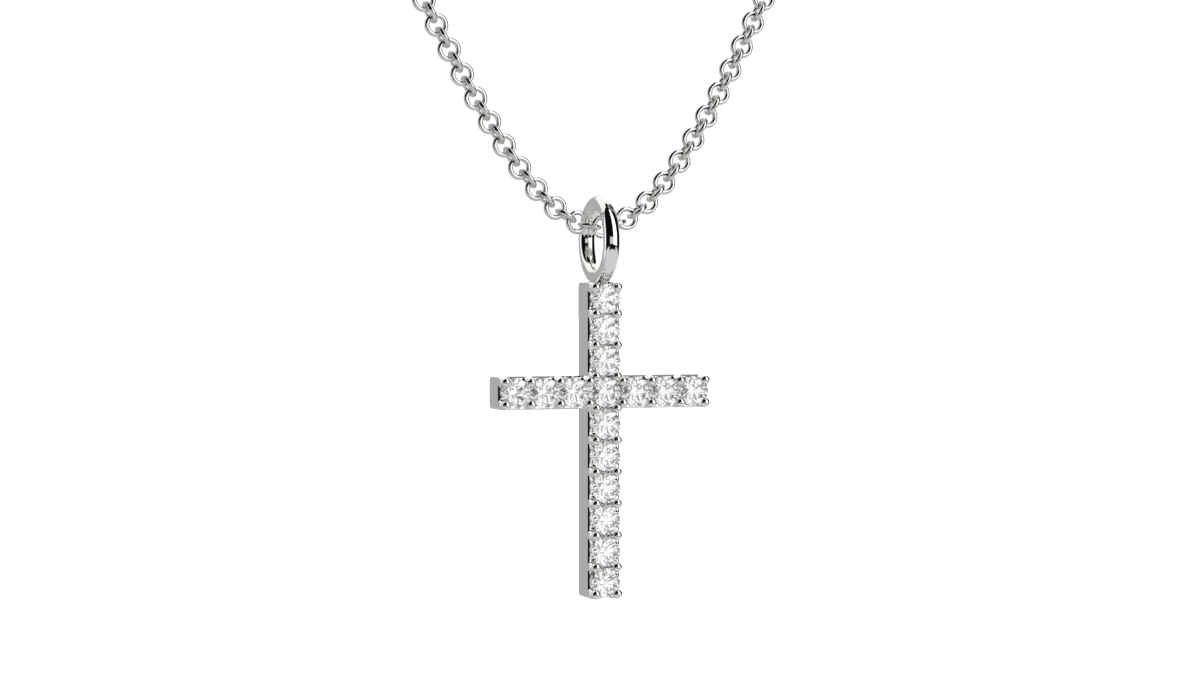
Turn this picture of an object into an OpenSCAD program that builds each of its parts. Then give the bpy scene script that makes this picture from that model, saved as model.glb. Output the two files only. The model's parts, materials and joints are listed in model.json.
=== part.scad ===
// A cross pendant of white metal and round stones, hanging by a ring bail from a belcher chain.
// Origin at the nape of the neck, in the middle of the clasp. The cross faces -Y, +Z is up.

/* [Stones] */
// Diameter of each round brilliant at its girdle
stone_d = 2.1; // [1.8:0.05:2.3]
// Share of the diameter that the flat table covers
table_share = 0.57; // [0.52:0.01:0.62]
// Angle of the crown's main facets, in degrees
crown_angle = 34.5; // [32:0.5:36]
// Angle of the pavilion's main facets, in degrees
pavilion_angle = 41; // [40:0.5:42]
// Thickness of the girdle
girdle_t = 0.04; // [0.02:0.01:0.06]
// Clearance between a stone and the metal cut away for it
seat_gap = 0.02; // [0.01:0.01:0.04]

/* [Cross] */
// Stones in the arm above the crossing
stones_up = 3; // [2:1:4]
// Stones in the arm below the crossing
stones_down = 6; // [4:1:8]
// Stones in each side arm
stones_side = 3; // [2:1:4]
// Space between neighbouring stones in the upper arm
gap_up = 0.06; // [0.03:0.01:0.12]
// Space between neighbouring stones in the lower arm
gap_down = 0.1; // [0.03:0.01:0.12]
// Space between neighbouring stones in a side arm
gap_side = 0.03; // [0.03:0.01:0.12]
// Room above and below the stone in the crossing
crossing_rise = 0.06; // [0.04:0.01:0.1]
// Room beside the stone in the crossing
crossing_side = 0.155; // [0.1:0.005:0.2]
// How far the long walls stand outside the stones' edges
wall_proud = 0.1; // [0.05:0.01:0.2]
// How far each arm's end wall stands outside its last stone
end_proud = 0.08; // [0.05:0.01:0.2]
// Depth of the metal from its flat back to its front ledge
body_depth = 2.06; // [1.6:0.02:2.4]
// Width of the front of every wall, its narrow outer bevel included
ledge_w = 0.27; // [0.2:0.005:0.3]
// Width of the bevel cut along the walls' outer front edges
bevel_w = 0.11; // [0.06:0.005:0.14]
// Height of that bevel
bevel_h = 0.11; // [0.06:0.005:0.14]
// Depth of the trough inside the walls, below the ledge
trough_depth = 0.47; // [0.4:0.01:0.5]
// Height of the stones' girdles above the ledge
girdle_height = 0.495; // [0.48:0.005:0.6]
// Radius of the rounded corners at the arms' ends
corner_r = 0.26; // [0.1:0.02:0.3]
// Diameter of the hole that lets light in behind each stone
light_hole_d = 0.8; // [0.6:0.05:0.9]

/* [Prongs] */
// Diameter of the bead on top of each prong
bead_d = 0.69; // [0.64:0.01:0.7]
// Diameter of each prong's post
post_d = 0.44; // [0.36:0.01:0.46]
// Diameter of each prong's foot, where it rises from the ledge
foot_d = 0.85; // [0.7:0.01:0.96]
// Height over which the foot narrows to the post
foot_h = 0.45; // [0.35:0.01:0.48]
// Height of the beads' centres above the stones' girdles
bead_height = 0.09; // [0.05:0.01:0.15]
// Distance from a long wall's outer face to its prongs' centres
prong_inset = 0.385; // [0.35:0.005:0.44]
// Distance from a long wall's outer face to the end prongs' centres
end_prong_inset = 0.36; // [0.36:0.01:0.4]
// Distance from an arm's end to its end prongs' centres
end_prong_back = 0.37; // [0.36:0.01:0.4]
// Width of the bridge that ties two prongs together between two stones
bridge_w = 0.16; // [0.1:0.01:0.18]
// Depth of the bridge's ridge below the stones' girdles
bridge_drop = 0.25; // [0.2:0.01:0.3]

/* [Bail] */
// Outer diameter of the ring bail
bail_d = 6.32; // [5.6:0.02:7]
// Diameter of the ring's round wire
bail_wire_d = 1.14; // [0.9:0.02:1.2]
// How far the ring's foot sinks into the top of the shaft
bail_sink = 0.285; // [0.2:0.005:0.6]

/* [Chain] */
// Outer diameter of a chain link
link_d = 1.69; // [1.6:0.01:1.8]
// Diameter of a link's round wire
wire_d = 0.31; // [0.28:0.005:0.32]
// Clearance between two linked links
link_gap = 0.125; // [0.12:0.005:0.15]
// Number of modelled links on each side of the one in the bail
links_side = 26; // [10:1:30]
// How far the chain has slipped along through the bail
chain_slip = 0.255; // [0:0.005:0.3]
// Clearance between the top of the bail's hole and the link in it
hang_gap = 0.23; // [0.1:0.005:0.4]
// How sharply the chain bends at the bail: the half width of the bend
chain_spread = 8.98; // [7:0.02:10]
// Steepness of the chain's two sides, far from the bail
chain_steepness = 2.46; // [2:0.02:2.6]
// How far the bend is tilted towards its left side, in degrees
chain_tilt = 0.87; // [0:0.01:2]

/* [Clasp] */
// Diameter of the barrel clasp
clasp_d = 2.6; // [2:0.1:3.2]
// Length of the barrel without its eyes
clasp_l = 6; // [5:0.5:8]
// Length of the cone at each end of the barrel
clasp_taper = 0.8; // [0.5:0.1:1.2]
// Outer diameter of the eye at each end of the barrel
eye_d = 1.7; // [1.5:0.05:2]
// Diameter of the eye's wire
eye_wire_d = 0.35; // [0.25:0.05:0.4]

/* [Hidden] */
$fn = 48;

// Where the chain's middle link hangs, in front of the throat
hang_y = -100;
hang_z = -132;

// The chain's hand-chosen way from the end of the modelled links round the neck, right side
chain_route = [
    [17, -99.8, -107], [21, -98.7, -98.5], [26.5, -95.8, -86.5], [32.5, -90.6, -74],
    [38.5, -83.4, -62], [44, -74.5, -50.5], [48.5, -65, -39.5], [51.5, -54, -29],
    [52.5, -42, -19.5], [50.5, -29.5, -12], [44.5, -18.5, -6.5], [35, -9.5, -3],
    [23.5, -3.8, -1], [12, -0.8, -0.2]
];
tube_rings = 40;
tube_sides = 8;

stone_r = stone_d / 2;
table_r = table_share * stone_r;
crown_h = (stone_r - table_r) * tan(crown_angle);
pavilion_h = stone_r * tan(pavilion_angle);
half_w = stone_r + wall_proud;

ledge = body_depth / 2;
floor_level = ledge - trough_depth;
girdle = ledge + girdle_height;
bead_level = girdle + bead_height;
// Anything that is cut away reaches this far past what it cuts
past = 1;

// One row for each arm: direction across and up, stones, distance between stones, start of its first cell
arms = [
    [[0, 1], stones_up, stone_d + gap_up, stone_r + crossing_rise],
    [[0, -1], stones_down, stone_d + gap_down, stone_r + crossing_rise],
    [[-1, 0], stones_side, stone_d + gap_side, stone_r + crossing_side],
    [[1, 0], stones_side, stone_d + gap_side, stone_r + crossing_side]
];
function direction(arm) = arm[0];
function sideways(arm) = [arm[0][1], arm[0][0]];
function stone_count(arm) = arm[1];
function cell_edge(arm, i) = arm[3] + i * arm[2];
function stone_at(arm, i) = direction(arm) * (cell_edge(arm, i) + arm[2] / 2);
function arm_end(arm) = norm(stone_at(arm, stone_count(arm) - 1)) + stone_r + end_proud;

stone_places = concat([[0, 0]], [for (arm = arms, i = [0 : stone_count(arm) - 1]) stone_at(arm, i)]);
end_stones = [for (arm = arms) stone_at(arm, stone_count(arm) - 1)];
prong_places = [
    for (arm = arms, i = [0 : stone_count(arm) - 1], side = [-1, 1])
        direction(arm) * cell_edge(arm, i) + sideways(arm) * side * (half_w - prong_inset)
];
end_prong_places = [
    for (arm = arms, side = [-1, 1])
        direction(arm) * (arm_end(arm) - end_prong_back) + sideways(arm) * side * (half_w - end_prong_inset)
];

// The ring bail's centre above the crossing, and the chain link's centre in it
bail_up = arm_end(arms[0]) + bail_d / 2 - bail_sink;
hinge_up = bail_up + bail_d / 2 - bail_wire_d - hang_gap - link_d / 2;

function stone_name(i) = str("stone_", i < 9 ? "0" : "", i + 1);

// The chain's curve: two steep sides joined by a round bend through the bail
function tilted(p) =
    let (c = cos(chain_tilt), s = sin(chain_tilt))
    [p[0] * c - p[1] * s, 0, p[0] * s + p[1] * c];
function rise(x) = chain_steepness * chain_spread * (sqrt(1 + pow(x / chain_spread, 2)) - 1);
function climb(x) = chain_steepness * x / chain_spread / sqrt(1 + pow(x / chain_spread, 2));
function chain_point(x) = [0, hang_y, hang_z] + tilted([x, rise(x)]);
function heading(x) = tilted([1, climb(x)]);
function along(x, d) = x + d / norm(heading(x + d / norm(heading(x)) / 2));
function stations(x, step, n) = n == 0 ? [x] : concat([x], stations(along(x, step), step, n - 1));

// Where the links stand across, from the middle one outwards, and where the rest of each side starts
link_pitch = link_d - 2 * wire_d - link_gap;
right_links = stations(chain_slip, link_pitch, links_side);
left_links = stations(chain_slip, -link_pitch, links_side);
right_end = along(right_links[links_side], link_d / 2 + link_gap);
left_end = along(left_links[links_side], -link_d / 2 - link_gap);

function unit(v) = v / norm(v);

// A smooth curve through a list of points: u counts points, so 1.5 is halfway from the second to the third
function clamp_index(points, i) = max(0, min(len(points) - 1, i));
function curve_at(points, u) =
    let (
        i = min(floor(u), len(points) - 2), t = u - i,
        p0 = points[clamp_index(points, i - 1)], p1 = points[i],
        p2 = points[i + 1], p3 = points[clamp_index(points, i + 2)]
    )
    0.5 * (2 * p1 + (p2 - p0) * t + (2 * p0 - 5 * p1 + 4 * p2 - p3) * t * t
        + (3 * p1 - p0 - 3 * p2 + p3) * t * t * t);

// Where the chain meets the clasp: the outer end of the barrel's eye
eye_x = clasp_l / 2 + eye_d / 2 - eye_wire_d;
clasp_end = [eye_x + eye_d / 2 + link_gap, 0, 0];
neck_axis_y = -50;

// The cross is drawn lying on its back, x across, y up the shaft and z to the front, then stood up
module hung() {
    translate([0, hang_y, hang_z - hinge_up]) rotate([90, 0, 0]) children();
}

module rounded_bar(x0, x1, y0, y1) {
    translate([x0 + corner_r, y0]) square([x1 - x0 - 2 * corner_r, y1 - y0]);
    translate([x0, y0 + corner_r]) square([x1 - x0, y1 - y0 - 2 * corner_r]);
    for (x = [x0 + corner_r, x1 - corner_r], y = [y0 + corner_r, y1 - corner_r])
        translate([x, y]) circle(corner_r);
}

module outline() {
    rounded_bar(-half_w, half_w, -arm_end(arms[1]), arm_end(arms[0]));
    rounded_bar(-arm_end(arms[2]), arm_end(arms[3]), -half_w, half_w);
}

// A long hollow with sides that slope in at 45 degrees below the ledge
module trough(x0, x1, y0, y1) {
    intersection() {
        translate([0, y1 + past, 0]) rotate([90, 0, 0]) linear_extrude(y1 - y0 + 2 * past)
            trough_section(x0, x1);
        translate([x0 - past, 0, 0]) rotate([90, 0, 90]) linear_extrude(x1 - x0 + 2 * past)
            trough_section(y0, y1);
    }
}

module trough_section(low, high) {
    polygon([
        [low - past, ledge + past], [low + trough_depth, floor_level],
        [high - trough_depth, floor_level], [high + past, ledge + past]
    ]);
}

module troughs() {
    inner = half_w - ledge_w;
    trough(-inner, inner, ledge_w - arm_end(arms[1]), arm_end(arms[0]) - ledge_w);
    trough(ledge_w - arm_end(arms[2]), arm_end(arms[3]) - ledge_w, -inner, inner);
}

// A bar with a bevel along its four front edges
module bevelled_bar(x0, x1, y0, y1) {
    intersection() {
        translate([0, y1, 0]) rotate([90, 0, 0]) linear_extrude(y1 - y0) bar_section(x0, x1);
        translate([x0, 0, 0]) rotate([90, 0, 90]) linear_extrude(x1 - x0) bar_section(y0, y1);
    }
}

module bar_section(low, high) {
    polygon([
        [low, -ledge], [high, -ledge], [high, ledge - bevel_h], [high - bevel_w, ledge],
        [low + bevel_w, ledge], [low, ledge - bevel_h]
    ]);
}

module walls() {
    difference() {
        union() {
            bevelled_bar(-half_w, half_w, -arm_end(arms[1]), arm_end(arms[0]));
            bevelled_bar(-arm_end(arms[2]), arm_end(arms[3]), -half_w, half_w);
        }
        troughs();
        for (p = stone_places)
            translate([p[0], p[1], -ledge - past]) cylinder(d = light_hole_d, h = body_depth + 2 * past);
    }
}

// A prong rises from the trough's floor, narrows above the ledge and ends in a round bead
module prong(p) {
    translate([p[0], p[1], 0]) {
        rotate_extrude() polygon([
            [0, floor_level - trough_depth / 2], [foot_d / 2, floor_level - trough_depth / 2],
            [foot_d / 2, ledge], [post_d / 2, ledge + foot_h], [post_d / 2, bead_level], [0, bead_level]
        ]);
        translate([0, 0, bead_level]) sphere(d = bead_d);
    }
}

// A ridged bridge joins the two prongs of a pair under the edges of the stones
module bridge(arm, i) {
    centre = direction(arm) * cell_edge(arm, i);
    turn = direction(arm)[0] == 0 ? 90 : 0;
    low = floor_level - trough_depth / 2;
    ridge = girdle - bridge_drop;
    translate([centre[0], centre[1], 0]) rotate([90, 0, turn])
        linear_extrude(2 * (half_w - prong_inset), center = true) polygon([
            [-bridge_w / 2, low], [bridge_w / 2, low], [bridge_w / 2, ridge - bridge_w / 2],
            [0, ridge], [-bridge_w / 2, ridge - bridge_w / 2]
        ]);
}

module bail() {
    translate([0, bail_up, 0]) rotate([0, 90, 0]) rotate_extrude($fn = 96)
        translate([(bail_d - bail_wire_d) / 2, 0]) circle(d = bail_wire_d);
}

// The shape of a stone with its clearance, cut out of the metal that would touch it
module seat() {
    translate([0, 0, girdle]) rotate_extrude() polygon([
        [0, -pavilion_h - girdle_t / 2 - seat_gap], [stone_r + seat_gap, -girdle_t / 2 - seat_gap],
        [stone_r + seat_gap, girdle_t / 2 + seat_gap],
        [table_r + seat_gap, girdle_t / 2 + crown_h + seat_gap], [0, girdle_t / 2 + crown_h + seat_gap]
    ]);
}

module cross_frame() {
    color("silver") hung() difference() {
        union() {
            intersection() {
                translate([0, 0, -ledge - past]) linear_extrude(bead_level + bead_d + ledge + past) outline();
                union() {
                    walls();
                    for (p = concat(prong_places, end_prong_places)) prong(p);
                    for (arm = arms, i = [0 : stone_count(arm) - 1]) bridge(arm, i);
                }
            }
            bail();
        }
        for (p = end_stones) translate([p[0], p[1], 0]) seat();
    }
}

// A round brilliant: an eight-sided table, eight kites and eight stars between it and the girdle, and the
// upper and lower halves and main facets that meet at the culet
module brilliant() {
    half_step = cos(22.5);
    star_r = (table_r + 0.5 * (stone_r - table_r)) / half_step;
    star_h = girdle_t / 2 + crown_h * 0.5;
    break_r = 0.22 * stone_r / half_step;
    break_h = -girdle_t / 2 - pavilion_h * (1 - 0.22);
    levels = [
        [8, table_r, girdle_t / 2 + crown_h, 0], [8, star_r, star_h, 22.5],
        [16, stone_r, girdle_t / 2, 0], [16, stone_r, -girdle_t / 2, 0],
        [8, break_r, break_h, 22.5]
    ];
    points = concat(
        [for (l = levels, i = [0 : l[0] - 1])
            [l[1] * cos(i * 360 / l[0] + l[3]), l[1] * sin(i * 360 / l[0] + l[3]), l[2]]],
        [[0, 0, -girdle_t / 2 - pavilion_h]]
    );
    star = 8;
    upper = 16;
    lower = 32;
    main = 48;
    culet = 56;
    faces = concat(
        [[7, 6, 5, 4, 3, 2, 1, 0]],
        [for (i = [0 : 7]) [i, (i + 1) % 8, star + i]],
        [for (i = [0 : 7]) [i, star + i, upper + 2 * i, star + (i + 7) % 8]],
        [for (i = [0 : 7]) [star + i, upper + 2 * i + 1, upper + 2 * i]],
        [for (i = [0 : 7]) [star + i, upper + (2 * i + 2) % 16, upper + 2 * i + 1]],
        [for (i = [0 : 15]) [upper + i, upper + (i + 1) % 16, lower + (i + 1) % 16, lower + i]],
        [for (i = [0 : 7]) [lower + 2 * i, lower + 2 * i + 1, main + i]],
        [for (i = [0 : 7]) [lower + 2 * i + 1, lower + (2 * i + 2) % 16, main + i]],
        [for (i = [0 : 7]) [lower + 2 * i, main + i, culet, main + (i + 7) % 8]]
    );
    polyhedron(points, faces);
}

module stone(i) {
    color("aliceblue") hung() translate([stone_places[i][0], stone_places[i][1], girdle]) brilliant();
}

// One round link, its hole's axis turned to the direction given
module link(x, axis) {
    translate(chain_point(x)) rotate([0, acos(axis[2]), atan2(axis[1], axis[0])])
        rotate_extrude() translate([(link_d - wire_d) / 2, 0]) circle(d = wire_d);
}

module chain_front() {
    color("gainsboro") {
        for (i = [0 : links_side]) chain_link(right_links[i], i);
        for (i = [1 : links_side]) chain_link(left_links[i], i);
    }
}

// Every second link faces the front, and the ones between stand across it
module chain_link(x, i) {
    link(x, i % 2 == 0 ? [0, 1, 0] : cross(unit(heading(x)), [0, 1, 0]));
}

// The rest of one side of the chain, as a tube of the links' diameter
module side_chain(x_start) {
    points = concat([chain_point(x_start)], chain_route, [clasp_end]);
    last = len(points) - 1;
    path = [for (k = [0 : tube_rings - 1]) curve_at(points, k * last / (tube_rings - 1))];
    rings = [
        for (k = [0 : tube_rings - 1])
            let (
                t = unit(path[min(k + 1, tube_rings - 1)] - path[max(k - 1, 0)]),
                outward = [path[k][0], path[k][1] - neck_axis_y, 0],
                a = unit(cross(t, outward)), b = cross(a, t)
            )
            for (j = [0 : tube_sides - 1])
                path[k] + link_d / 2 * (a * cos(j * 360 / tube_sides) + b * sin(j * 360 / tube_sides))
    ];
    sides = [
        for (k = [0 : tube_rings - 2], j = [0 : tube_sides - 1])
            let (n = (j + 1) % tube_sides, c = k * tube_sides)
            [c + j, c + n, c + tube_sides + n, c + tube_sides + j]
    ];
    first_cap = [for (j = [tube_sides - 1 : -1 : 0]) j];
    last_cap = [for (j = [0 : tube_sides - 1]) (tube_rings - 1) * tube_sides + j];
    polyhedron(rings, concat(sides, [first_cap, last_cap]));
}

module chain_back() {
    color("gainsboro") {
        side_chain(right_end);
        mirror([1, 0, 0]) side_chain(-left_end);
    }
}

// A plain barrel clasp with an eye at each end
module clasp() {
    color("silver") {
        rotate([0, 90, 0]) rotate_extrude() polygon([
            [0, -clasp_l / 2], [clasp_d / 2 - clasp_taper, -clasp_l / 2],
            [clasp_d / 2, clasp_taper - clasp_l / 2], [clasp_d / 2, clasp_l / 2 - clasp_taper],
            [clasp_d / 2 - clasp_taper, clasp_l / 2], [0, clasp_l / 2]
        ]);
        for (s = [-1, 1]) translate([s * eye_x, 0, 0]) rotate([90, 0, 0])
            rotate_extrude() translate([(eye_d - eye_wire_d) / 2, 0]) circle(d = eye_wire_d);
    }
}

cross_frame();
for (i = [0 : len(stone_places) - 1])
    stone(i);
chain_front();
chain_back();
clasp();
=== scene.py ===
# %% [markdown]
# # A stone-set cross on its chain
# This lesson dresses a cross pendant whose solids were made in a CAD program. The solids come in as a fixed
# frame, in metres, with the origin at the nape of the neck, the cross facing -Y and +Z up. Every piece made
# here takes its place from that frame, so nothing has to be fitted by eye.

# %% Load the frame
import json
import math

import bmesh
import bpy
from mathutils import Matrix, Vector


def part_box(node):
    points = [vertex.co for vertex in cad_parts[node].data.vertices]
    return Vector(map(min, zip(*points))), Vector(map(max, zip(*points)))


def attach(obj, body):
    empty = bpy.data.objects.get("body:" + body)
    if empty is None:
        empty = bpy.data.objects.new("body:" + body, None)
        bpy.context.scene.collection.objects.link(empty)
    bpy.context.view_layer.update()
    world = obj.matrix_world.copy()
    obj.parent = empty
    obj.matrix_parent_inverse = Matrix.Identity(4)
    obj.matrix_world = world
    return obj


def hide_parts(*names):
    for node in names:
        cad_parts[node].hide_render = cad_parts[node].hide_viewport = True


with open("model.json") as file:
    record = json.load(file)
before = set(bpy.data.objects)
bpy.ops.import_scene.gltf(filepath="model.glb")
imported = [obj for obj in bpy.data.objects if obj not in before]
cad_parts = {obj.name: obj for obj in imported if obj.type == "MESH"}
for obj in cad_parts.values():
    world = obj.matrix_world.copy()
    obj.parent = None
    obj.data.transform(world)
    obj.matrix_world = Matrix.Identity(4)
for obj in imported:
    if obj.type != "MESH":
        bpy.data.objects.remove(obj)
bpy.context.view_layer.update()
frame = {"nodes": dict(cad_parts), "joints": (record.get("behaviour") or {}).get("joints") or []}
MM = 0.001

# %% [markdown]
# ## Landmarks
# A jeweller measures a cross from the middle of its crossing. The crossing stone's own box gives that middle
# and the stones' size, and the joint gives the point where the bail hangs. Reading both from the frame, and
# not typing them again, keeps this script right when the solids change.

# %% Landmarks on the cross
stone_low, stone_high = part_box("stone_01")
hang = Vector(frame["joints"][0]["pos_m"])
crossing = Vector((hang.x, hang.y, (stone_low.z + stone_high.z) / 2))
STONE_R = (stone_high.z - stone_low.z) / 2
print("hang point, mm:", [round(c / MM, 2) for c in hang])
print("crossing, mm:", [round(c / MM, 2) for c in crossing])

# %% [markdown]
# ## The camera first
# A small object is photographed from close by with a long lens. The camera stands 197 mm from the cross, 19.5
# degrees round to its left and hardly above it. The direction is kept as two angles, because they say what a
# photographer would say, and the position follows from them.

# %% Camera
VIEW_ROUND, VIEW_UP, VIEW_DISTANCE = math.radians(-19.5), math.radians(1.293), 197.2 * MM
LOOK_AT = crossing + Vector((-0.457, -1.507, 3.805)) * MM
LENS, SENSOR_WIDTH = 85.71, 36
NEAREST, FURTHEST = 0.01, 20

camera_data = bpy.data.cameras.new("camera")
camera_data.lens, camera_data.sensor_width = LENS, SENSOR_WIDTH
camera_data.clip_start, camera_data.clip_end = NEAREST, FURTHEST
camera = bpy.data.objects.new("camera", camera_data)
bpy.context.scene.collection.objects.link(camera)
towards_camera = Vector((
    math.sin(VIEW_ROUND) * math.cos(VIEW_UP), -math.cos(VIEW_ROUND) * math.cos(VIEW_UP), math.sin(VIEW_UP)))
camera.location = LOOK_AT + VIEW_DISTANCE * towards_camera
camera.rotation_euler = (-towards_camera).to_track_quat("-Z", "Y").to_euler()
bpy.context.scene.camera = camera
print("camera at, mm:", [round(c / MM, 1) for c in camera.location])

# %% [markdown]
# ## Helpers for nodes
# A material is a little network. Three helpers keep the networks short to read: one adds a node and sets its
# values, one joins two sockets, and one does a sum on numbers.

# %% Node helpers
def add_node(tree, kind, values=None, **settings):
    """Adds a node of that kind, sets its properties and then its input values."""
    node = tree.nodes.new(kind)
    for name, value in settings.items():
        setattr(node, name, value)
    for name, value in (values or {}).items():
        node.inputs[name].default_value = value
    return node


def join(tree, source, target):
    tree.links.new(source, target)


def calculate(tree, operation, *terms):
    """A Math node fed with sockets or plain numbers. Returns its output socket."""
    node = add_node(tree, "ShaderNodeMath", operation=operation)
    for place, term in enumerate(terms):
        if isinstance(term, (int, float)):
            node.inputs[place].default_value = term
        else:
            join(tree, term, node.inputs[place])
    return node.outputs[0]


# %% [markdown]
# ## The studio
# Polished metal has hardly a look of its own: it shows the room. Jewellery is lit in a room with a white
# table, a white sweep behind, one tall soft light at the front right, and black cloth for everything else,
# because black next to white is what makes metal read as bright. Panels and lamps could stand round the
# cross, but a sky that changes with direction gives the same reflections with no noise and nothing in the way
# of the camera. So each patch of the room is a band of compass angle times a band of height, with soft edges.

# %% Patches of the room
def band(tree, angle, low, high, soft):
    """1 between two angles in degrees, 0 outside, with a soft change over the given width."""
    middle, half = math.radians((low + high) / 2), math.radians((high - low) / 2)
    off = calculate(tree, "ABSOLUTE", calculate(tree, "SUBTRACT", angle, middle))
    fade = add_node(tree, "ShaderNodeMapRange", interpolation_type="SMOOTHSTEP", values={
        "From Min": half - math.radians(soft) / 2, "From Max": half + math.radians(soft) / 2,
        "To Min": 1.0, "To Max": 0.0})
    join(tree, off, fade.inputs["Value"])
    return fade.outputs["Result"]


def patch(tree, compass, around, height, upright):
    """1 on one patch of the room, 0 elsewhere. Around and upright are low, high and softness in degrees."""
    return calculate(tree, "MULTIPLY", band(tree, compass, *around), band(tree, height, *upright))


# %% [markdown]
# ## What stands in the room
# Three angles say where a direction points: its height, its compass angle from straight ahead, and its
# compass angle from straight behind. The table is white and grows darker behind the cross on its left, and a
# dark card lies across the front of it. At the front stand the tall soft light, a low glowing strip and, to
# the right, a little grey ceiling, each given as its light and its two bands. Behind, the sweep is grey to
# the left of its middle and white to both sides of that and above.

# %% Room
DARK, TABLE_WHITE, TABLE_SHADE, SWEEP_GREY, SWEEP_WHITE = 0.005, 0.83, 0.22, 0.54, 1.3
TABLE_UPRIGHT, SHADE_AROUND = (-120, -13, 4), (-85, 15, 30)
CARD_AROUND, CARD_UPRIGHT = (-45, 42, 8), (-22, -9, 4)
SWEEP_AROUND, SWEEP_UPRIGHT = (-77, 55, 6), (-13, 74, 4)
LIGHTER_RIGHT, LIGHTER_LEFT, LIGHTER_UP = (-12, 14), (-42, -60), (12, 35)
CEILING = (0.3, (62, 130, 6), (60, 120, 8))
GLOW = (0.8, (-40, 12, 8), (-8, 8, 5))
SOFTBOX = (1.8, (8, 62, 3), (-10, 80, 3))
FRONT_LIGHTS = (CEILING, GLOW, SOFTBOX)


def room_brightness(tree, axes):
    """How bright the room is in each direction, which comes as a node that splits it into x, y and z."""
    x, y, z = axes.outputs
    height = calculate(tree, "ARCSINE", z)
    ahead = calculate(tree, "ARCTAN2", x, calculate(tree, "MULTIPLY", y, -1.0))
    behind = calculate(tree, "ARCTAN2", x, y)

    shade = calculate(tree, "MULTIPLY", band(tree, behind, *SHADE_AROUND), TABLE_SHADE)
    table = calculate(tree, "MULTIPLY", band(tree, height, *TABLE_UPRIGHT),
                      calculate(tree, "SUBTRACT", TABLE_WHITE, shade))
    card = patch(tree, ahead, CARD_AROUND, height, CARD_UPRIGHT)
    table = calculate(tree, "MULTIPLY", table, calculate(tree, "SUBTRACT", 1.0, card))

    front = 0.0
    for light, around, upright in FRONT_LIGHTS:
        lit = calculate(tree, "MULTIPLY", patch(tree, ahead, around, height, upright), light)
        front = calculate(tree, "MAXIMUM", lit, front)

    sweep = SWEEP_GREY
    for angle, (begin, full) in ((behind, LIGHTER_RIGHT), (behind, LIGHTER_LEFT), (height, LIGHTER_UP)):
        lighter = add_node(tree, "ShaderNodeMapRange", interpolation_type="SMOOTHSTEP", values={
            "From Min": math.radians(begin), "From Max": math.radians(full),
            "To Min": 0.0, "To Max": SWEEP_WHITE})
        join(tree, angle, lighter.inputs["Value"])
        sweep = calculate(tree, "MAXIMUM", lighter.outputs["Result"], sweep)
    sweep = calculate(tree, "MULTIPLY", sweep, patch(tree, behind, SWEEP_AROUND, height, SWEEP_UPRIGHT))
    return calculate(tree, "ADD", calculate(tree, "ADD", table, front), calculate(tree, "ADD", sweep, DARK))


# %% [markdown]
# ## A tent for the stones, and a white page for the camera
# A cut stone returns light that has been round inside it many times. In this dark room it would turn black,
# so rays that come out of a stone meet a white tent with small grey spots instead, which the facets break up
# into sparkle. The camera itself sees plain white. Each bounce off a facet from within counts as a glossy
# one, and six are followed instead of four.

# %% Tent, backdrop and world
TENT_GREY, TENT_WHITE, BACKDROP = 0.4, 1.36, 1.05
SPOT_SCALE, SPOT_FROM, SPOT_TO = 9.0, 0.45, 0.47
BOUNCES_IN_STONE = 6


def spotted_tent(tree, direction):
    """A white light with soft-edged grey spots."""
    spots = add_node(tree, "ShaderNodeTexNoise", values={"Scale": SPOT_SCALE, "Detail": 0.0})
    join(tree, direction, spots.inputs["Vector"])
    patches = add_node(tree, "ShaderNodeMapRange", interpolation_type="SMOOTHSTEP", values={
        "From Min": SPOT_FROM, "From Max": SPOT_TO, "To Min": TENT_GREY, "To Max": TENT_WHITE})
    join(tree, spots.outputs["Fac"], patches.inputs["Value"])
    tent = add_node(tree, "ShaderNodeBackground")
    join(tree, patches.outputs["Result"], tent.inputs["Strength"])
    return tent


def build_studio():
    world = bpy.data.worlds.new("studio")
    bpy.context.scene.world = world
    world.use_nodes = True
    tree = world.node_tree
    tree.nodes.clear()
    direction = add_node(tree, "ShaderNodeTexCoord").outputs["Generated"]
    axes = add_node(tree, "ShaderNodeSeparateXYZ")
    join(tree, direction, axes.inputs[0])
    room = add_node(tree, "ShaderNodeBackground")
    join(tree, room_brightness(tree, axes), room.inputs["Strength"])
    backdrop = add_node(tree, "ShaderNodeBackground", values={"Color": (1, 1, 1, 1), "Strength": BACKDROP})
    rays = add_node(tree, "ShaderNodeLightPath").outputs
    picture = room.outputs[0]
    tent = spotted_tent(tree, direction)
    for kind_of_ray, light in (("Is Transmission Ray", tent), ("Is Camera Ray", backdrop)):
        seen = add_node(tree, "ShaderNodeMixShader")
        join(tree, rays[kind_of_ray], seen.inputs[0])
        join(tree, picture, seen.inputs[1])
        join(tree, light.outputs[0], seen.inputs[2])
        picture = seen.outputs[0]
    join(tree, picture, add_node(tree, "ShaderNodeOutputWorld").inputs["Surface"])
    bpy.context.scene.view_settings.view_transform = "Standard"
    bpy.context.scene.cycles.glossy_bounces = BOUNCES_IN_STONE
    print("studio built from", len(tree.nodes), "nodes")


build_studio()

# %% [markdown]
# ## Patterns in millimetres
# A finish varies a little over its surface, and the pattern of that has a size. Noise that reads Object
# coordinates stays put on the piece when it moves. Those are metres here, so a Mapping node turns them into
# millimetres first, and each noise scale below is a number of spots to the millimetre.

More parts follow.
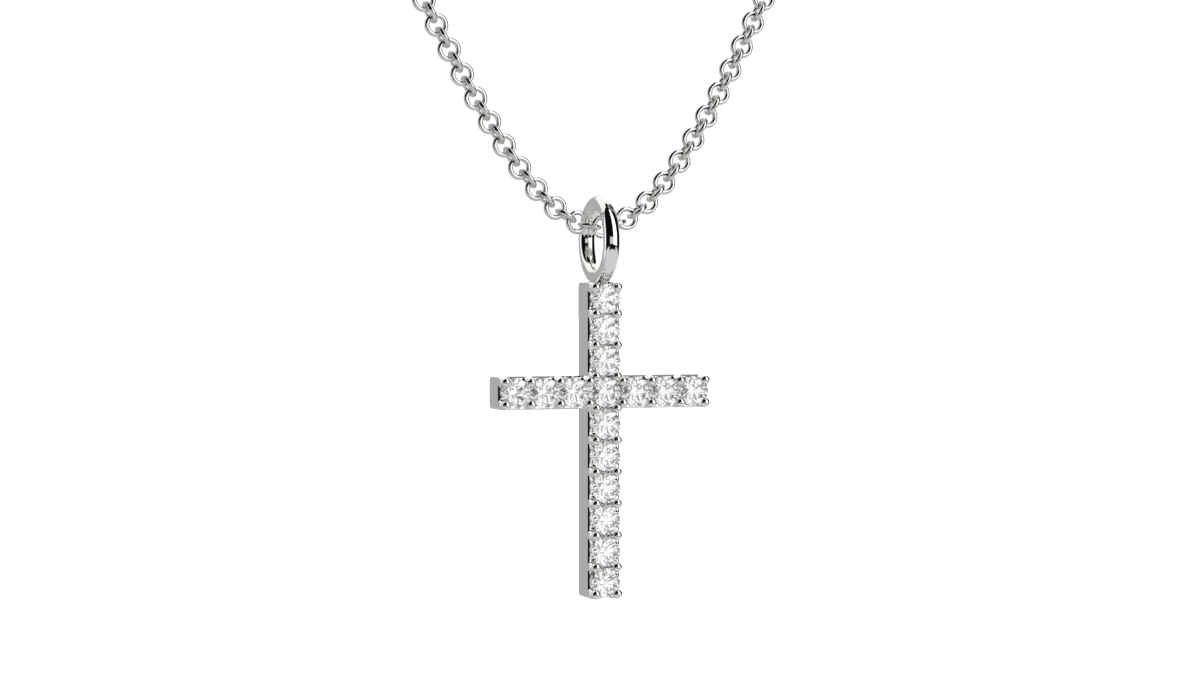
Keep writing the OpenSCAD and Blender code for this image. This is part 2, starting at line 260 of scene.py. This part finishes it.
# %% Pattern helpers
def new_material(name):
    """An empty node material with its shader, and a millimetre coordinate to hang patterns on."""
    material = bpy.data.materials.new(name)
    material.use_nodes = True
    tree = material.node_tree
    shader = next(node for node in tree.nodes if node.type == "BSDF_PRINCIPLED")
    to_mm = add_node(tree, "ShaderNodeMapping", values={"Scale": (1 / MM, 1 / MM, 1 / MM)})
    join(tree, add_node(tree, "ShaderNodeTexCoord").outputs["Object"], to_mm.inputs["Vector"])
    return material, tree, shader, to_mm.outputs["Vector"]


def noise(tree, place, scale, detail=2.0):
    texture = add_node(tree, "ShaderNodeTexNoise", values={"Scale": scale, "Detail": detail})
    join(tree, place, texture.inputs["Vector"])
    return texture.outputs["Fac"]


def spread(tree, value, low, high):
    """Turns a 0 to 1 pattern into the range low to high."""
    stretch = add_node(tree, "ShaderNodeMapRange", values={"To Min": low, "To Max": high})
    join(tree, value, stretch.inputs["Value"])
    return stretch.outputs["Result"]


# %% [markdown]
# ## White gold
# Polished white gold is close to a mirror, but polish leaves faint waves and hairlines that break up a
# reflection a little. With one roughness all over it would look too perfect, so noise drives the roughness, a
# slight change of tint and a very small bump. The chain is drawn wire and a shade greyer than the cross.

# %% White gold
DULLER = 0.96
CLOUDS, HAIRLINES, WAVES = 0.9, 6.0, 1.6
HAIRLINE_DETAIL, WAVE_STRENGTH = 4.0, 0.15


def polished_metal(name, colour, smoothest, roughest, wave_depth):
    """Mirror metal: roughness wanders between two values, and waves of that depth in mm tilt the surface."""
    material, tree, shader, place = new_material(name)
    shader.inputs["Metallic"].default_value = 1.0
    tint = add_node(tree, "ShaderNodeMix", data_type="RGBA")
    tint.inputs["A"].default_value = (*colour, 1)
    tint.inputs["B"].default_value = (*(c * DULLER for c in colour), 1)
    join(tree, noise(tree, place, CLOUDS), tint.inputs["Factor"])
    join(tree, tint.outputs["Result"], shader.inputs["Base Color"])
    scratches = noise(tree, place, HAIRLINES, HAIRLINE_DETAIL)
    join(tree, spread(tree, scratches, smoothest, roughest), shader.inputs["Roughness"])
    bump = add_node(tree, "ShaderNodeBump", values={"Strength": WAVE_STRENGTH, "Distance": wave_depth * MM})
    join(tree, noise(tree, place, WAVES), bump.inputs["Height"])
    join(tree, bump.outputs["Normal"], shader.inputs["Normal"])
    print(name, "has", len(tree.nodes), "nodes")
    return material


WHITE_GOLD = polished_metal("white_gold", (0.93, 0.925, 0.905), 0.02, 0.05, 0.004)
CHAIN_GOLD = polished_metal("chain_gold", (0.8, 0.795, 0.78), 0.02, 0.04, 0.002)

# %% [markdown]
# ## Clear stone
# A stone is clear, so its looks come from its facets alone: light goes in through them, bounces round inside
# and comes back out. How strongly they bend it is one plain number. Only a trace of roughness is added, as
# fine as the marks that a cutter's wheel leaves.

# %% Stone
STONE_IOR, WHEEL_MARKS, ROUGHEST_FACET = 1.9, 14.0, 0.012


def clear_stone():
    """A cut stone: all its light goes in through the facets and comes back out of them."""
    material, tree, shader, place = new_material("brilliant_stone")
    shader.inputs["Transmission Weight"].default_value = 1.0
    shader.inputs["IOR"].default_value = STONE_IOR
    shader.inputs["Base Color"].default_value = (1, 1, 1, 1)
    marks = noise(tree, place, WHEEL_MARKS)
    join(tree, spread(tree, marks, 0.0, ROUGHEST_FACET), shader.inputs["Roughness"])
    print(material.name, "has", len(tree.nodes), "nodes")
    return material


STONE = clear_stone()

# %% [markdown]
# ## Small tools for pieces
# Each piece is a bmesh that ends up in one object. The cross is easier to build lying on its back, x across,
# y up the shaft and z to the front, and is then stood up at its place. finish_piece writes the mesh, keeps
# sharp edges sharp and smooths the rest, says which body carries it and hides the plain solids it stands for.

# %% Piece helpers
STAND_UP = Matrix.Translation(crossing) @ Matrix.Rotation(math.radians(90), 4, "X")


def finish_piece(mesh_draft, name, material, body, replaces=(), sharp_angle=35):
    """Turns a bmesh into a finished object that rides on a body."""
    bmesh.ops.recalc_face_normals(mesh_draft, faces=mesh_draft.faces)
    mesh = bpy.data.meshes.new(name)
    mesh_draft.to_mesh(mesh)
    mesh_draft.free()
    mesh.shade_smooth()
    mesh.set_sharp_from_angle(angle=math.radians(sharp_angle))
    mesh.materials.append(material)
    piece = bpy.data.objects.new(name, mesh)
    bpy.context.scene.collection.objects.link(piece)
    flatten = piece.modifiers.new("flat faces stay flat", "WEIGHTED_NORMAL")
    flatten.keep_sharp, flatten.weight = True, 100
    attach(piece, body)
    if replaces:
        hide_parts(*replaces)
    print(name, "has", len(mesh.polygons), "faces")
    return piece


def stand_up(mesh_draft):
    bmesh.ops.transform(mesh_draft, matrix=STAND_UP, verts=mesh_draft.verts)


def cut(mesh_draft, tool_draft, operation):
    """One solid cut by another, or kept only inside it, by a Boolean modifier that is applied at once."""
    halves = []
    for draft in (mesh_draft, tool_draft):
        bmesh.ops.recalc_face_normals(draft, faces=draft.faces)
        mesh = bpy.data.meshes.new("work")
        draft.to_mesh(mesh)
        draft.free()
        work = bpy.data.objects.new("work", mesh)
        bpy.context.scene.collection.objects.link(work)
        halves.append(work)
    blank, tool = halves
    modifier = blank.modifiers.new("cut", "BOOLEAN")
    modifier.object, modifier.operation = tool, operation
    modifier.solver, modifier.use_self = "EXACT", True
    result = bmesh.new()
    result.from_object(blank, bpy.context.evaluated_depsgraph_get())
    for work in halves:
        mesh = work.data
        bpy.data.objects.remove(work)
        bpy.data.meshes.remove(mesh)
    return result


# %% [markdown]
# ## Where the stones and prongs stand
# The stones sit in equal cells along each arm, and every line between two cells carries a pair of prongs that
# holds both stones. The CAD stones tell where the cells are: the list below groups them by arm and takes the
# distance between neighbours from their boxes.

# %% Layout of the arms
WALL_PROUD, END_PROUD = 0.1 * MM, 0.08 * MM
HALF_W = STONE_R + WALL_PROUD
PRONG_INSET, END_PRONG_INSET, END_PRONG_BACK = 0.385 * MM, 0.36 * MM, 0.37 * MM
UP, DOWN, LEFT, RIGHT = (0, 1), (0, -1), (-1, 0), (1, 0)
ARM_STONES = ((UP, range(2, 5)), (DOWN, range(5, 11)), (LEFT, range(11, 14)), (RIGHT, range(14, 17)))


def stone_centre(number):
    """A stone's centre in the lying cross: across, and up the shaft."""
    low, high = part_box(f"stone_{number:02d}")
    middle = (low + high) / 2 - crossing
    return Vector((middle.x, middle.z))


ARMS = []
for way, numbers in ARM_STONES:
    along = Vector(way)
    places = [stone_centre(number).dot(along) for number in numbers]
    pitch = places[1] - places[0]
    ARMS.append({"along": along, "across": Vector((along.y, along.x)),
                 "cells": [place - pitch / 2 for place in places], "end": places[-1] + STONE_R + END_PROUD})
print("arm ends, mm:", [round(arm["end"] / MM, 2) for arm in ARMS])

PRONG_SPOTS = [arm["along"] * cell + arm["across"] * side * (HALF_W - PRONG_INSET)
               for arm in ARMS for cell in arm["cells"] for side in (-1, 1)]
PRONG_SPOTS += [arm["along"] * (arm["end"] - END_PRONG_BACK)
                + arm["across"] * side * (HALF_W - END_PRONG_INSET)
                for arm in ARMS for side in (-1, 1)]
STONE_SPOTS = [stone_centre(number) for number in range(1, 17)]
print(len(PRONG_SPOTS), "prongs for", len(STONE_SPOTS), "stones")

# %% [markdown]
# ## The walls of the cross
# The real cross is a shallow tray: long walls, a narrow ledge round the front, a hollow under the stones and
# a light hole behind each of them. A plate is grown from one square by extruding its edges into arms, is
# thickened, and is given soft corners at the arms' ends.

# %% Plate in the shape of the cross
BODY_DEPTH, CORNER_R, CORNER_STEPS = 2.06 * MM, 0.26 * MM, 6
LEDGE = BODY_DEPTH / 2
SIDEWAYS_PENALTY = 9


def verts_of(geometry):
    """The vertices in what a bmesh operator gives back."""
    return [element for element in geometry if isinstance(element, bmesh.types.BMVert)]


def outermost_edge(draft, arm):
    """The edge of an outline that lies furthest out along an arm's middle line."""
    def reach(edge):
        middle = ((edge.verts[0].co + edge.verts[1].co) / 2).xy
        return middle.dot(arm["along"]) - abs(middle.dot(arm["across"])) * SIDEWAYS_PENALTY
    return max((edge for edge in draft.edges if edge.is_boundary), key=reach)


def cross_plate(low, high, narrower=0.0, corner_r=CORNER_R):
    """A solid cross with square edges and rounded arm corners, between two heights, as wide as the real one
    or narrower by some amount all round."""
    half_w = HALF_W - narrower
    draft = bmesh.new()
    bmesh.ops.create_grid(draft, x_segments=1, y_segments=1, size=half_w)
    for arm in ARMS:
        grown = bmesh.ops.extrude_edge_only(draft, edges=[outermost_edge(draft, arm)])["geom"]
        length = arm["end"] - narrower - half_w
        bmesh.ops.translate(draft, vec=(*(arm["along"] * length), 0), verts=verts_of(grown))
    bmesh.ops.translate(draft, vec=(0, 0, low), verts=draft.verts)
    top = bmesh.ops.extrude_face_region(draft, geom=list(draft.faces), use_keep_orig=True)["geom"]
    bmesh.ops.translate(draft, vec=(0, 0, high - low), verts=verts_of(top))
    if corner_r:
        # upright edges at the arms' ends are rounded, and those in the crossing stay sharp
        ends = [e for e in draft.edges if abs(e.verts[0].co.z - e.verts[1].co.z) > (high - low) / 2
                and max(abs(c) for c in e.verts[0].co.xy) > HALF_W * 1.5]
        bmesh.ops.bevel(draft, geom=ends, offset=corner_r, segments=CORNER_STEPS, profile=0.5,
                        affect="EDGES", material=-1)
    bmesh.ops.recalc_face_normals(draft, faces=draft.faces)
    return draft


# %% [markdown]
# An inset of the front face that also rises makes the filed bevel round it. The hollow is a second, narrower
# plate whose underside tapers, and it and a set of drills are cut out with Boolean modifiers, because an
# inset that is wider than a corner is round folds over itself.

# %% Walls
LEDGE_W, TROUGH, BEVEL = 0.27 * MM, 0.47 * MM, 0.11 * MM
LIGHT_HOLE_R, DRILL_SIDES = 0.4 * MM, 32


def build_walls():
    draft = cross_plate(-LEDGE, LEDGE - BEVEL)
    front = [f for f in draft.faces if f.normal.z > 0.9]
    bmesh.ops.inset_region(draft, faces=front, thickness=BEVEL, depth=BEVEL, use_even_offset=True,
                           use_boundary=True)
    cutter = cross_plate(LEDGE, LEDGE + TROUGH, narrower=LEDGE_W, corner_r=0)
    bottom = [f for f in cutter.faces if f.normal.z < -0.9]
    bmesh.ops.inset_region(cutter, faces=bottom, thickness=TROUGH, depth=TROUGH, use_even_offset=True,
                           use_boundary=True)
    draft = cut(draft, cutter, "DIFFERENCE")
    drills = bmesh.new()
    for spot in STONE_SPOTS:
        bmesh.ops.create_cone(drills, cap_ends=True, segments=DRILL_SIDES, radius1=LIGHT_HOLE_R,
                              radius2=LIGHT_HOLE_R, depth=BODY_DEPTH * 1.5,
                              matrix=Matrix.Translation((*spot, 0)))
    draft = cut(draft, drills, "DIFFERENCE")
    stand_up(draft)
    return finish_piece(draft, "cross_walls", WHITE_GOLD, "pendant", sharp_angle=20)


walls = build_walls()

# %% [markdown]
# ## Prongs, beads and bridges
# A prong rises from the tray as a cone, narrows to a post and ends in a round bead that is pushed over the
# edges of the stones. Post and bead are one turned shape, so a half profile is drawn once and spun. The cones
# are a second turned shape, kept only inside the outline of the cross, which files them flush with the walls
# and leaves the little gables that show on the real setting.

# %% Turning and repeating
def turn(profile, steps):
    """Spins a half profile, given as distance from the axis and height, into a closed turned solid."""
    draft = bmesh.new()
    verts = [draft.verts.new((radius, 0, height)) for radius, height in profile]
    edges = [draft.edges.new(pair) for pair in zip(verts, verts[1:])]
    bmesh.ops.spin(draft, geom=verts + edges, cent=(0, 0, 0), axis=(0, 0, 1), angle=2 * math.pi, steps=steps,
                   use_merge=True)
    bmesh.ops.remove_doubles(draft, verts=draft.verts, dist=1e-7)
    rims = [e for e in draft.edges if e.is_boundary]
    if rims:
        bmesh.ops.holes_fill(draft, edges=rims)
    bmesh.ops.recalc_face_normals(draft, faces=draft.faces)
    return draft


def repeat(template, places):
    """Copies a bmesh to each of the given transforms, and lets the template go."""
    mesh = bpy.data.meshes.new("template")
    template.to_mesh(mesh)
    template.free()
    draft = bmesh.new()
    for place in places:
        before = len(draft.verts)
        draft.from_mesh(mesh)
        draft.verts.ensure_lookup_table()
        bmesh.ops.transform(draft, matrix=place, verts=draft.verts[before:])
    bpy.data.meshes.remove(mesh)
    return draft


def add_all(draft, other):
    """Moves everything of one bmesh into another."""
    mesh = bpy.data.meshes.new("part")
    other.to_mesh(mesh)
    other.free()
    draft.from_mesh(mesh)
    bpy.data.meshes.remove(mesh)


# %% [markdown]
# Between the two prongs of a pair a thin bridge keeps them apart under the stones. Its top is filed to a
# ridge, which is a square bar set on its corner and sunk halfway into the wall below it.

# %% Prongs
GIRDLE_ABOVE_LEDGE, BEAD_ABOVE_GIRDLE, BRIDGE_BELOW_GIRDLE = 0.495 * MM, 0.09 * MM, 0.25 * MM
GIRDLE = LEDGE + GIRDLE_ABOVE_LEDGE
BEAD_LEVEL, BRIDGE_TOP = GIRDLE + BEAD_ABOVE_GIRDLE, GIRDLE - BRIDGE_BELOW_GIRDLE
BEAD_R, POST_R, ROOT_R = 0.345 * MM, 0.22 * MM, 0.32 * MM
FOOT_R, FOOT_H, BRIDGE_W = 0.425 * MM, 0.45 * MM, 0.16 * MM
PRONG_ROOT = LEDGE - TROUGH * 1.5
BEAD_STEPS, POST_SIDES, CONE_SIDES = 12, 28, 32


def prong_profile():
    """Half the outline of a root, a post and its bead, from the bottom up to the top of the bead."""
    start = math.pi - math.asin(POST_R / BEAD_R)
    arc = [start * (1 - step / BEAD_STEPS) for step in range(BEAD_STEPS + 1)]
    bead = [(BEAD_R * math.sin(a), BEAD_LEVEL + BEAD_R * math.cos(a)) for a in arc]
    return [(ROOT_R, PRONG_ROOT), (ROOT_R, LEDGE), (POST_R, LEDGE), *bead]


def add_bridge(draft, arm, cell):
    """A wall with a ridge on it, across an arm between two prongs."""
    length, height = 2 * (HALF_W - PRONG_INSET), BRIDGE_TOP - BRIDGE_W / 2 - PRONG_ROOT
    lie = Matrix.Rotation(math.atan2(arm["across"].y, arm["across"].x), 4, "Z")
    foot = Matrix.Translation((*(arm["along"] * cell), PRONG_ROOT + height / 2))
    top = Matrix.Translation((*(arm["along"] * cell), PRONG_ROOT + height))
    on_corner, side = Matrix.Rotation(math.radians(45), 4, "X"), BRIDGE_W / math.sqrt(2)
    wall, bar = Matrix.Diagonal((length, BRIDGE_W, height, 1)), Matrix.Diagonal((length, side, side, 1))
    bmesh.ops.create_cube(draft, size=1, matrix=foot @ lie @ wall)
    bmesh.ops.create_cube(draft, size=1, matrix=top @ lie @ on_corner @ bar)


def build_prongs():
    spots = [Matrix.Translation((*spot, 0)) for spot in PRONG_SPOTS]
    posts = repeat(turn(prong_profile(), POST_SIDES), spots)
    cone = [(FOOT_R, LEDGE - TROUGH), (FOOT_R, LEDGE), (POST_R, LEDGE + FOOT_H)]
    cones = cut(repeat(turn(cone, CONE_SIDES), spots), cross_plate(LEDGE - BEVEL, GIRDLE), "INTERSECT")
    add_all(posts, cones)
    for arm in ARMS:
        for cell in arm["cells"]:
            add_bridge(posts, arm, cell)
    stand_up(posts)
    finish_piece(posts, "prongs", WHITE_GOLD, "pendant", sharp_angle=40)


build_prongs()

# %% [markdown]
# ## The ring bail
# The bail is a ring of heavy round wire, soldered to the top of the shaft. The ring and the chain's links are
# turned in the same way: a circle of wire, set off to one side, is spun once round the ring's axis, and its
# last step is merged with its first.

# %% Bail
BAIL_R, BAIL_WIRE_R, BAIL_STEPS, BAIL_SIDES = 3.16 * MM, 0.57 * MM, 160, 48
BAIL_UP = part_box("cross_frame")[1].z - BAIL_R - crossing.z


def wire_ring(radius, wire_r, steps, sides):
    """A ring of round wire, made by spinning the wire's circle about the ring's axis."""
    draft = bmesh.new()
    circle = bmesh.ops.create_circle(draft, segments=sides, radius=wire_r,
                                     matrix=Matrix.Translation((radius - wire_r, 0, 0))
                                     @ Matrix.Rotation(math.radians(90), 4, "X"))["verts"]
    bmesh.ops.spin(draft, geom=circle + draft.edges[:], cent=(0, 0, 0), axis=(0, 0, 1), angle=2 * math.pi,
                   steps=steps, use_merge=True)
    bmesh.ops.remove_doubles(draft, verts=draft.verts, dist=1e-7)
    bmesh.ops.recalc_face_normals(draft, faces=draft.faces)
    return draft


def build_bail():
    draft = wire_ring(BAIL_R, BAIL_WIRE_R, BAIL_STEPS, BAIL_SIDES)
    lie = Matrix.Translation((0, BAIL_UP, 0)) @ Matrix.Rotation(math.radians(90), 4, "Y")
    bmesh.ops.transform(draft, matrix=lie, verts=draft.verts)
    stand_up(draft)
    finish_piece(draft, "ring_bail", WHITE_GOLD, "pendant")


build_bail()
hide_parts("cross_frame")

# %% [markdown]
# ## The stones
# The CAD stones are already cut facet by facet, with a table, kites, stars and halves above the girdle and
# mains and halves below it, so they stay as they are and only get their material.

# %% Stones
for name, node in frame["nodes"].items():
    if name.startswith("stone_"):
        node.data.materials.clear()
        node.data.materials.append(STONE)
print("stones dressed")

# %% [markdown]
# ## The chain in front
# The chain is made of round links of round wire, each turned a quarter against the next. Its middle link
# hangs in the bail, and both sides rise along a curve that is round at the bail and nearly straight above it.
# The chain has slipped a quarter of a millimetre through the bail, and its bend leans by less than a degree.
# The links are set out from the middle, one pitch apart along that curve, as the solids are. The solids keep
# clear of each other and so are of thinner wire. Here the wire has its full thickness, and each link all but
# touches the next, as links do that carry a weight.

# %% Chain curve
LINK_R, WIRE_R, PITCH, SLIP = 0.845 * MM, 0.18 * MM, 0.945 * MM, 0.255 * MM
SPREAD, STEEPNESS = 8.98 * MM, 2.46
TILT = Matrix.Rotation(math.radians(-0.87), 3, "Y")


def chain_point(x):
    """The point of the chain's curve that lies x to the right of the bail."""
    rise = STEEPNESS * SPREAD * (math.sqrt(1 + (x / SPREAD) ** 2) - 1)
    return hang + TILT @ Vector((x, 0, rise))


def chain_heading(x):
    """Which way the curve runs at x. Its length says how far the curve goes for each unit of x."""
    return TILT @ Vector((1, 0, STEEPNESS * x / SPREAD / math.sqrt(1 + (x / SPREAD) ** 2)))


def step_along(x, distance):
    """Where a walk of that distance along the curve ends."""
    middle = x + distance / chain_heading(x).length / 2
    return x + distance / chain_heading(middle).length


def link_place(centre, heading, facing):
    """The transform that lays a link with its hole along facing and its length along heading."""
    hole = (facing - facing.dot(heading) * heading).normalized()
    return Matrix.Translation(centre) @ Matrix((heading, hole.cross(heading), hole)).transposed().to_4x4()


# %% Front chain
LINKS_A_SIDE, FRONT_STEPS, FRONT_SIDES = 26, 40, 14
front_places, chain_ends = [], {}
for side in (1, -1):
    x = SLIP
    for count in range(LINKS_A_SIDE + 1):
        heading = chain_heading(x).normalized()
        across = heading.cross(Vector((0, 1, 0))).cross(heading).normalized()
        facing = across if count % 2 == 0 else heading.cross(across)
        if side == 1 or count > 0:
            front_places.append(link_place(chain_point(x), heading, facing))
        chain_ends[side] = (x, across)
        x = step_along(x, side * PITCH)
print(len(front_places), "links in front")
finish_piece(repeat(wire_ring(LINK_R, WIRE_R, FRONT_STEPS, FRONT_SIDES), front_places), "chain_front_links",
             CHAIN_GOLD, "chain", replaces=["chain_front"], sharp_angle=80)

# %% [markdown]
# ## The chain round the neck
# Some two hundred more links a side run up over the collar bones to the clasp at the nape. The plain CAD tube
# there follows given points, and the links follow the same ones, joined by a smooth curve.
# A link's tilt is carried along from its neighbour, and the little that is left over is spread out as twist,
# as in a real chain. A shape that is repeated this often is given only a few dozen faces.

# %% Route round the neck
ROUTE = [Vector(point) * MM for point in (
    (17, -99.8, -107), (21, -98.7, -98.5), (26.5, -95.8, -86.5), (32.5, -90.6, -74),
    (38.5, -83.4, -62), (44, -74.5, -50.5), (48.5, -65, -39.5), (51.5, -54, -29),
    (52.5, -42, -19.5), (50.5, -29.5, -12), (44.5, -18.5, -6.5), (35, -9.5, -3),
    (23.5, -3.8, -1), (12, -0.8, -0.2))]
LAST_LINK = Vector((4.475, 0, 0)) * MM


def smooth_curve(points, pieces):
    """Points along a smooth curve that passes through each of the given ones."""
    result = []
    for i in range(len(points) - 1):
        p0, p1, p2 = points[max(i - 1, 0)], points[i], points[i + 1]
        p3 = points[min(i + 2, len(points) - 1)]
        for step in range(pieces):
            t = step / pieces
            result.append(0.5 * (2 * p1 + (p2 - p0) * t + (2 * p0 - 5 * p1 + 4 * p2 - p3) * t ** 2
                                 + (3 * p1 - p0 - 3 * p2 + p3) * t ** 3))
    return result + [points[-1]]


def even_steps(points, pitch):
    """Points spaced as near to the pitch as divides the whole length, from the first to the last."""
    total = sum((b - a).length for a, b in zip(points, points[1:]))
    count = round(total / pitch)
    result, travelled, target = [points[0]], 0.0, total / count
    for a, b in zip(points, points[1:]):
        length = (b - a).length
        while travelled + length >= target * len(result) and len(result) < count:
            result.append(a.lerp(b, (target * len(result) - travelled) / length))
        travelled += length
    return result + [points[-1]], total


# %% Chain round the neck
ROUTE_STEPS, NECK_STEPS, NECK_SIDES = 24, 12, 5


def neck_links(side):
    """Where each link round one side of the neck goes, and how long that side is."""
    x, facing = chain_ends[side]
    flip = Vector((side, 1, 1))
    points = [chain_point(x)] + [point * flip for point in ROUTE] + [LAST_LINK * flip]
    centres, total = even_steps(smooth_curve(points, ROUTE_STEPS), PITCH)
    last = len(centres) - 1
    headings = [(centres[min(i + 1, last)] - centres[max(i - 1, 0)]).normalized() for i in range(last + 1)]
    facings = [(facing - facing.dot(headings[0]) * headings[0]).normalized()]
    for before, after in zip(headings, headings[1:]):
        facings.append(before.rotation_difference(after) @ facings[-1])
    wanted = Vector((0, 0, 1)) if last % 2 == 0 else Vector((0, 1, 0))
    left_over = math.atan2(facings[-1].cross(wanted).dot(headings[-1]), facings[-1].dot(wanted))
    left_over = (left_over + math.pi / 2) % math.pi - math.pi / 2
    places = []
    for i in range(1, last + 1):
        turn_by = left_over * i / last + math.pi / 2 * (i % 2)
        turned = Matrix.Rotation(turn_by, 3, headings[i]) @ facings[i]
        places.append(link_place(centres[i], headings[i], turned))
    return places, total


neck_places = []
for side in (1, -1):
    places, length = neck_links(side)
    neck_places += places
    print(len(places), "links on one side, over", round(length / MM, 1), "mm")
finish_piece(repeat(wire_ring(LINK_R, WIRE_R, NECK_STEPS, NECK_SIDES), neck_places), "chain_neck_links",
             CHAIN_GOLD, "chain", replaces=["chain_back"], sharp_angle=80)

# %% [markdown]
# ## The barrel clasp
# The photograph hides the clasp, so this is the plainest one such a chain has: a small barrel that screws
# together, with an eye at each end. The barrel is one turned profile with rounded shoulders and a fine groove
# where its halves meet.

# %% Clasp
clasp_low, clasp_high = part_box("clasp")
CLASP_R = (clasp_high.z - clasp_low.z) / 2
EYE_R, EYE_WIRE_R, EYE_STEPS, EYE_SIDES = 0.85 * MM, 0.175 * MM, 32, 12
BARREL_HALF = clasp_high.x - 2 * EYE_R + 2 * EYE_WIRE_R
SHOULDER_R, SHOULDER_STEPS, GROOVE, BARREL_SIDES = 0.8 * MM, 8, 0.05 * MM, 48


def barrel_profile():
    """Half the outline of the barrel, from the middle of one end to the middle of the other."""
    right = [(CLASP_R - GROOVE, 0.0), (CLASP_R - GROOVE, GROOVE), (CLASP_R, 2 * GROOVE)]
    for step in range(SHOULDER_STEPS + 1):
        a = math.pi / 2 * step / SHOULDER_STEPS
        right.append((CLASP_R - SHOULDER_R + SHOULDER_R * math.cos(a),
                      BARREL_HALF - SHOULDER_R + SHOULDER_R * math.sin(a)))
    left = [(radius, -height) for radius, height in reversed(right[1:])]
    return [(0, -BARREL_HALF), *left, *right, (0, BARREL_HALF)]


def build_clasp():
    draft = turn(barrel_profile(), BARREL_SIDES)
    for side in (-1, 1):
        eye = wire_ring(EYE_R, EYE_WIRE_R, EYE_STEPS, EYE_SIDES)
        bmesh.ops.transform(eye, matrix=Matrix.Translation((0, 0, side * (clasp_high.x - EYE_R)))
                            @ Matrix.Rotation(math.radians(90), 4, "X"), verts=eye.verts)
        add_all(draft, eye)
    bmesh.ops.transform(draft, matrix=Matrix.Rotation(math.radians(90), 4, "Y"), verts=draft.verts)
    finish_piece(draft, "barrel_clasp", WHITE_GOLD, "chain", replaces=["clasp"])


build_clasp()

# %% [markdown]
# ## The table
# The object hangs free, so the pale floor is only a plain sheet well below it. It is bright enough to run
# into the white behind it, as a photographer's table does, and the metal doesn't mirror it, because the room
# above already has a table in it.

# %% Floor
FLOOR_HALF, FLOOR_LEVEL, FLOOR_GREY, FLOOR_GLOW = 6, -0.24, 0.9, 1.0
FLOOR_CLOUDS, FLOOR_SMOOTHEST, FLOOR_ROUGHEST = 0.05, 0.6, 0.8


def build_floor():
    draft = bmesh.new()
    bmesh.ops.create_grid(draft, x_segments=1, y_segments=1, size=FLOOR_HALF,
                          matrix=Matrix.Translation((0, 0, FLOOR_LEVEL)))
    mesh = bpy.data.meshes.new("floor")
    draft.to_mesh(mesh)
    draft.free()
    material, tree, shader, place = new_material("pale_floor")
    shader.inputs["Base Color"].default_value = (FLOOR_GREY, FLOOR_GREY, FLOOR_GREY, 1)
    shader.inputs["Emission Color"].default_value = (1, 1, 1, 1)
    shader.inputs["Emission Strength"].default_value = FLOOR_GLOW
    clouds = noise(tree, place, FLOOR_CLOUDS)
    join(tree, spread(tree, clouds, FLOOR_SMOOTHEST, FLOOR_ROUGHEST), shader.inputs["Roughness"])
    mesh.materials.append(material)
    floor = bpy.data.objects.new("floor", mesh)
    floor.visible_glossy = floor.visible_transmission = False
    bpy.context.scene.collection.objects.link(floor)
    print("floor laid, mm:", round(FLOOR_LEVEL / MM))


build_floor()
